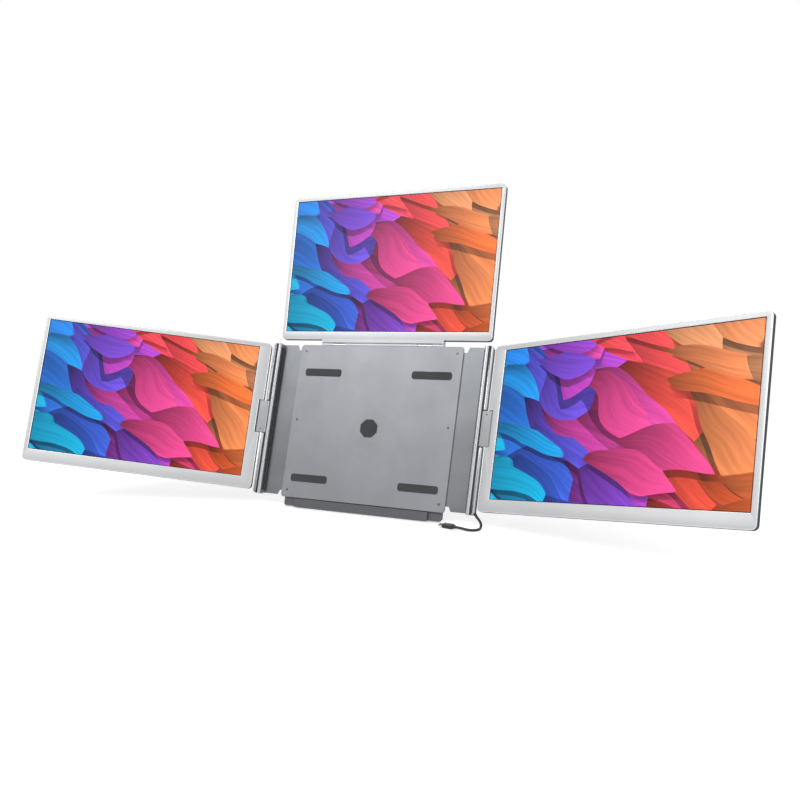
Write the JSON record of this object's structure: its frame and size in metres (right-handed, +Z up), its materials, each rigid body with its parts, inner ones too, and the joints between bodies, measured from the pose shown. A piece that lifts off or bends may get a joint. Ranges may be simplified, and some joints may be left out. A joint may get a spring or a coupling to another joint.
{
  "type": "laptop screen extender",
  "caption": "Clip-on frame for a laptop lid with a hinged screen on each side and one above, sliding side rails, kickstand and cable.",
  "frame": {"origin": "centre of the foot strip's underside, on the desk", "axes": "+Z up, +X to the viewer's right along the three screens, +Y away from the viewer"},
  "size_m": [1.0692, 0.2971, 0.4861],
  "materials": {
    "silver_bezel": "fine bead blasted, clear anodised",
    "shell_grey": "fine matt texture",
    "rail_grey": "bead blasted, grey anodised",
    "band_silver": "satin",
    "screen_glass": "matt display surface, lit",
    "light_guide": "white light guide in a bright tray",
    "plate_silver": "bead blasted",
    "cover_grey": "fine matt texture",
    "slide_steel": "rolled sheet",
    "pin_steel": "ground",
    "block_grey": "bead blasted",
    "block_cover": "satin",
    "board_green": "solder mask",
    "soft_pad": "soft, matt",
    "foot_rubber": "matt",
    "leg_grey": "bead blasted, grey anodised",
    "button_dark": "satin",
    "cable_grey": "matt jacket",
    "plug_grey": "satin moulded",
    "plug_steel": "polished"
  },
  "bodies": {
    "frame": {"centre_plate": "plate_silver", "lid_pads": "soft_pad", "rear_cover": "cover_grey", "main_board": "board_green", "foot_strip": "foot_rubber", "top_hinge_brackets": "block_grey"},
    "kickstand": {"kickstand_leg": "leg_grey", "kickstand_foot": "foot_rubber", "kickstand_pin": "pin_steel"},
    "left_rail_body": {"left_slide_plate": "slide_steel", "left_rail": "rail_grey", "left_clamp_band": "band_silver", "left_rail_strips": "band_silver", "left_grip_pad": "soft_pad", "left_rail_pin": "pin_steel"},
    "left_hinge_link": {"left_hinge_block": "block_grey", "left_hinge_cover_plate": "block_cover"},
    "right_rail_body": {"right_slide_plate": "slide_steel", "right_rail": "rail_grey", "right_clamp_band": "band_silver", "right_rail_strips": "band_silver", "right_grip_pad": "soft_pad", "right_rail_pin": "pin_steel", "cable_gland": "plug_grey", "usb_cable": "cable_grey", "usb_plug_body": "plug_grey", "usb_plug_tip": "plug_steel"},
    "right_hinge_link": {"right_hinge_block": "block_grey", "right_hinge_cover_plate": "block_cover"},
    "left_screen": {"left_bezel": "silver_bezel", "left_screen_cell": "screen_glass", "left_backlight": "light_guide", "left_rear_shell": "shell_grey", "left_driver_board": "board_green", "left_panel_pin": "pin_steel"},
    "left_power_button_body": {"left_power_button": "button_dark"},
    "left_menu_button_body": {"left_menu_button": "button_dark"},
    "right_screen": {"right_bezel": "silver_bezel", "right_screen_cell": "screen_glass", "right_backlight": "light_guide", "right_rear_shell": "shell_grey", "right_driver_board": "board_green", "right_panel_pin": "pin_steel"},
    "right_power_button_body": {"right_power_button": "button_dark"},
    "right_menu_button_body": {"right_menu_button": "button_dark"},
    "top_screen": {"top_bezel": "silver_bezel", "top_screen_cell": "screen_glass", "top_backlight": "light_guide", "top_rear_shell": "shell_grey", "top_driver_board": "board_green", "top_hinge_tongue": "shell_grey", "top_hinge_pins": "pin_steel"},
    "top_power_button_body": {"top_power_button": "button_dark"},
    "top_menu_button_body": {"top_menu_button": "button_dark"}
  },
  "joints": [
    {"name": "left_rail_slide", "type": "slide", "parent": "frame", "child": "left_rail_body", "axis": [-1, 0, 0], "range_m": [-0.03, 0.03]},
    {"name": "left_block_hinge", "type": "hinge", "parent": "left_rail_body", "child": "left_hinge_link", "pos_m": [-0.183, 0.0332, 0.13599], "axis": [0, 0.3338, 0.9426], "range_deg": [-40.3, 78.7]},
    {"name": "left_screen_hinge", "type": "hinge", "parent": "left_hinge_link", "child": "left_screen", "pos_m": [-0.19281, 0.03135, 0.13665], "axis": [0, 0.3338, 0.9426], "range_deg": [-40.3, 78.7]},
    {"name": "right_rail_slide", "type": "slide", "parent": "frame", "child": "right_rail_body", "axis": [1, 0, 0], "range_m": [-0.03, 0.03]},
    {"name": "right_block_hinge", "type": "hinge", "parent": "right_rail_body", "child": "right_hinge_link", "pos_m": [0.183, 0.0332, 0.13599], "axis": [0, 0.3338, 0.9426], "range_deg": [-78.7, 40.3]},
    {"name": "right_screen_hinge", "type": "hinge", "parent": "right_hinge_link", "child": "right_screen", "pos_m": [0.19281, 0.03135, 0.13665], "axis": [0, 0.3338, 0.9426], "range_deg": [-78.7, 40.3]},
    {"name": "top_screen_tilt", "type": "hinge", "parent": "frame", "child": "top_screen", "pos_m": [0, 0.08747, 0.25001], "axis": [-1, 0, 0], "range_deg": [-25, 95]},
    {"name": "kickstand_fold", "type": "hinge", "parent": "frame", "child": "kickstand", "pos_m": [0, 0.04711, 0.12046], "axis": [1, 0, 0], "range_deg": [-36.5, 45]},
    {"name": "left_power_press", "type": "slide", "parent": "left_screen", "child": "left_power_button_body", "axis": [0.3843, -0.8703, 0.3082], "range_m": [0, 0.0006], "stiffness_N_per_m": 1500, "springref_m": -0.0004},
    {"name": "left_menu_press", "type": "slide", "parent": "left_screen", "child": "left_menu_button_body", "axis": [0.3843, -0.8703, 0.3082], "range_m": [0, 0.0006], "stiffness_N_per_m": 1500, "springref_m": -0.0004},
    {"name": "right_power_press", "type": "slide", "parent": "right_screen", "child": "right_power_button_body", "axis": [-0.3843, -0.8703, 0.3082], "range_m": [0, 0.0006], "stiffness_N_per_m": 1500, "springref_m": -0.0004},
    {"name": "right_menu_press", "type": "slide", "parent": "right_screen", "child": "right_menu_button_body", "axis": [-0.3843, -0.8703, 0.3082], "range_m": [0, 0.0006], "stiffness_N_per_m": 1500, "springref_m": -0.0004},
    {"name": "top_power_press", "type": "slide", "parent": "top_screen", "child": "top_power_button_body", "axis": [0, -0.9681, 0.2504], "range_m": [0, 0.0006], "stiffness_N_per_m": 1500, "springref_m": -0.0004},
    {"name": "top_menu_press", "type": "slide", "parent": "top_screen", "child": "top_menu_button_body", "axis": [0, -0.9681, 0.2504], "range_m": [0, 0.0006], "stiffness_N_per_m": 1500, "springref_m": -0.0004}
  ]
}
